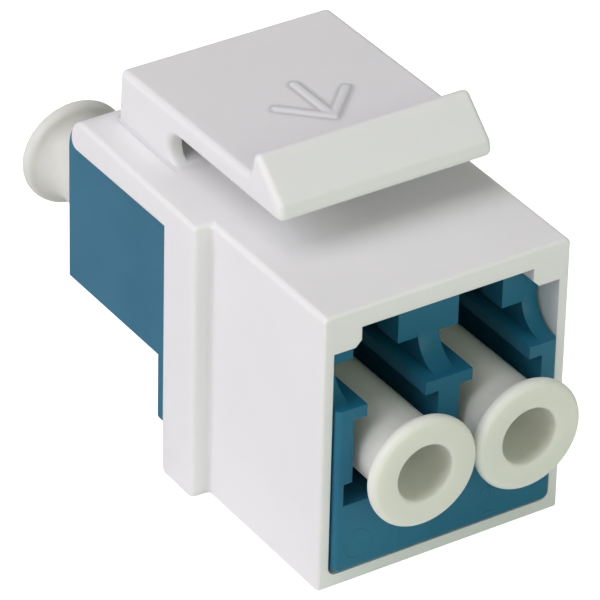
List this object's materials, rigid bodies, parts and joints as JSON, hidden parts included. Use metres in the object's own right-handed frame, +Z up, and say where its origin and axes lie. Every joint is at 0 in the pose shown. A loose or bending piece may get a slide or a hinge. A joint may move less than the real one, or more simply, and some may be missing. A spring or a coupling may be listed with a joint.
{
  "type": "lc fibre adapter",
  "caption": "Snap-in keystone housing with a sprung latch arm, holding a duplex LC fibre adapter whose ports are closed by dust plugs.",
  "frame": {"origin": "bottom face of the housing, on its centre line, under the plane of the panel stop", "axes": "+X across the two ports to the right as seen from the front, +Y from the front ports to the rear ports, +Z up to the latch arm"},
  "size_m": [0.0166, 0.0349, 0.0211],
  "materials": {
    "white_plastic": "satin moulded",
    "teal_plastic": "satin moulded",
    "holder_plastic": "satin moulded",
    "ceramic": "ground ceramic",
    "soft_plug": "soft translucent"
  },
  "bodies": {
    "adapter": {"keystone_housing": "white_plastic", "adapter_front_shell": "teal_plastic", "adapter_rear_shell": "teal_plastic", "sleeve_holder_front": "holder_plastic", "sleeve_holder_rear": "holder_plastic", "alignment_sleeve_left": "ceramic", "alignment_sleeve_right": "ceramic"},
    "latch": {"latch_arm": "white_plastic"},
    "plug_front_left": {"dust_plug_front_left": "soft_plug"},
    "plug_front_right": {"dust_plug_front_right": "soft_plug"},
    "plug_rear_left": {"dust_plug_rear_left": "soft_plug"},
    "plug_rear_right": {"dust_plug_rear_right": "soft_plug"}
  },
  "joints": [
    {"name": "latch_flex", "type": "hinge", "parent": "adapter", "child": "latch", "pos_m": [0, 0.0039, 0.01897], "axis": [1, 0, 0], "range_deg": [0, 12], "stiffness_Nm_per_rad": 0.2},
    {"name": "plug_front_left_pull", "type": "slide", "parent": "adapter", "child": "plug_front_left", "axis": [0, -1, 0], "range_m": [0, 0.014]},
    {"name": "plug_front_right_pull", "type": "slide", "parent": "adapter", "child": "plug_front_right", "axis": [0, -1, 0], "range_m": [0, 0.014]},
    {"name": "plug_rear_left_pull", "type": "slide", "parent": "adapter", "child": "plug_rear_left", "axis": [0.0408, 0.9974, 0.0589], "range_m": [0, 0.014]},
    {"name": "plug_rear_right_pull", "type": "slide", "parent": "adapter", "child": "plug_rear_right", "axis": [0, 1, 0], "range_m": [0, 0.014]}
  ]
}
